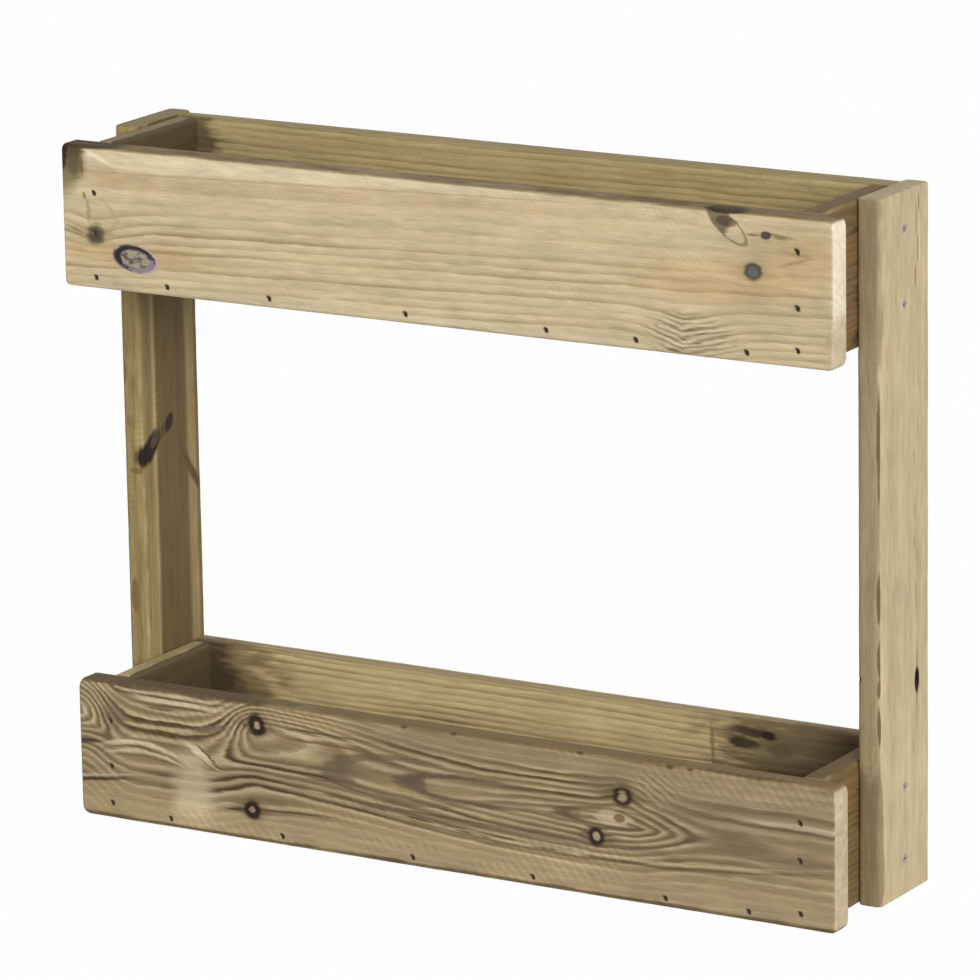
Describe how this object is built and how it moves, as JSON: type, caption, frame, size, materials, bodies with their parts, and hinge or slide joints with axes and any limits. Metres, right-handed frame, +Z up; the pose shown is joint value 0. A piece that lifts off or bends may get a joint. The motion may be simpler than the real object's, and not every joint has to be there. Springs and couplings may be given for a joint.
{
  "type": "vertical wooden planter",
  "caption": "Free-standing wooden planter with an upper and a lower open trough, nailed from planed boards and screwed between flat side posts.",
  "frame": {"origin": "on the floor, under the middle of the planter's width and depth", "axes": "+Z up, +X to the right seen from the front, front boards face -Y"},
  "size_m": [0.868, 0.2, 0.7],
  "materials": {
    "upper_front_wood": "planed",
    "lower_front_wood": "planed",
    "post_wood": "planed",
    "inner_wood": "planed",
    "nail_steel": "dull",
    "screw_zinc": "satin",
    "plate_metal": "satin"
  },
  "bodies": {
    "root": {"left_post": "post_wood", "right_post": "post_wood", "upper_front_board": "upper_front_wood", "upper_back_board": "inner_wood", "upper_left_end_board": "inner_wood", "upper_right_end_board": "inner_wood", "upper_bottom_board": "inner_wood", "lower_front_board": "lower_front_wood", "lower_back_board": "inner_wood", "lower_left_end_board": "inner_wood", "lower_right_end_board": "inner_wood", "lower_bottom_board": "inner_wood", "upper_front_end_nails": "nail_steel", "upper_front_bottom_nails": "nail_steel", "upper_back_end_nails": "nail_steel", "upper_back_bottom_nails": "nail_steel", "lower_front_end_nails": "nail_steel", "lower_front_bottom_nails": "nail_steel", "lower_back_end_nails": "nail_steel", "lower_back_bottom_nails": "nail_steel", "upper_left_post_screws": "screw_zinc", "upper_right_post_screws": "screw_zinc", "lower_left_post_screws": "screw_zinc", "lower_right_post_screws": "screw_zinc", "oval_plate": "plate_metal"}
  },
  "joints": []
}
